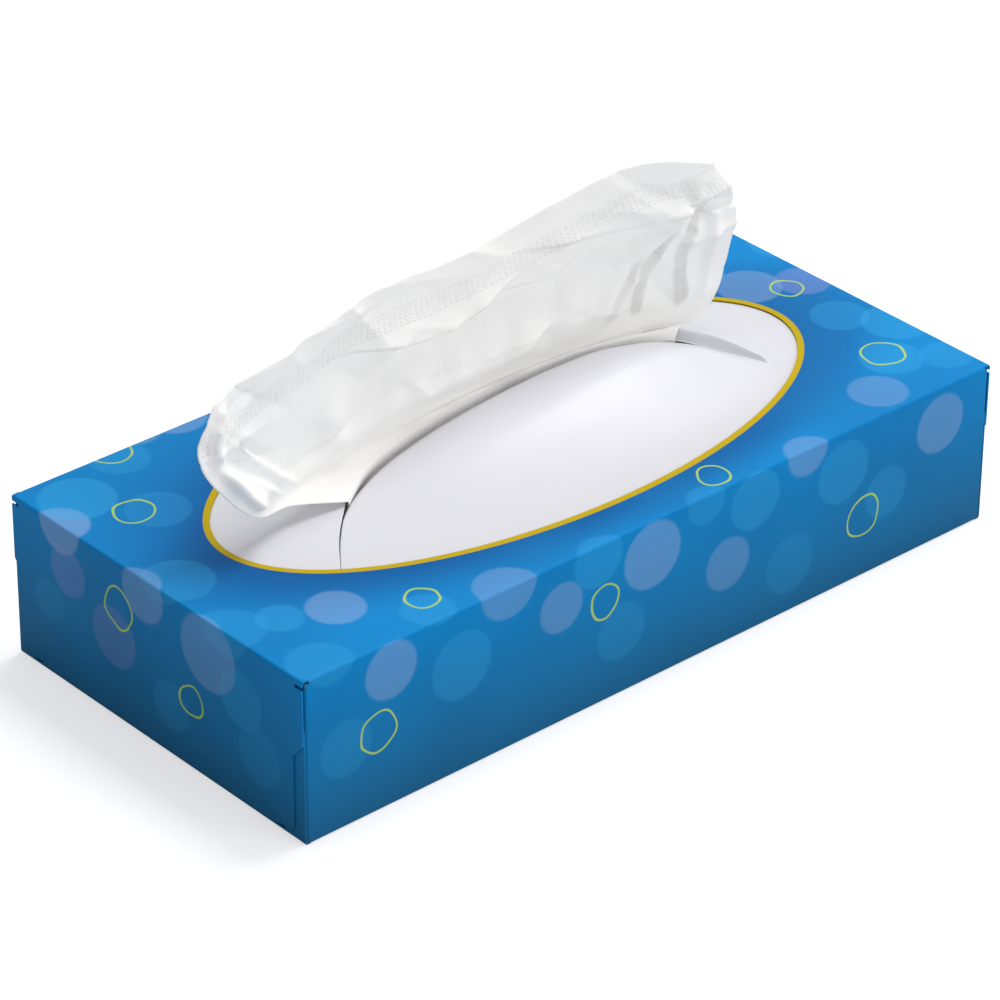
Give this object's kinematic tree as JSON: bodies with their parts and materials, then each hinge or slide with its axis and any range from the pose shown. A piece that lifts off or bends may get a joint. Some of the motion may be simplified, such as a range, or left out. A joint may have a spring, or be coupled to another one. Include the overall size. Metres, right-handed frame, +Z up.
{
  "type": "tissue box",
  "caption": "Flat printed paperboard box of paper tissues with an oval opening, a slit film under it and one tissue pulled half out.",
  "frame": {"origin": "middle of the underside, where the box stands", "axes": "+X along the box, +Y from the front side to the rear side, +Z up"},
  "size_m": [0.23, 0.1124, 0.1001],
  "materials": {
    "printed_board": "printed blue, semi-gloss varnish, grey-white board inside",
    "white_film": "thin white plastic film, satin",
    "tissue_paper": "soft matt two-ply creped paper"
  },
  "bodies": {
    "root": {"carton": "printed_board", "slit_film": "white_film", "tissue_stack": "tissue_paper", "top_tissue": "tissue_paper"}
  },
  "joints": []
}
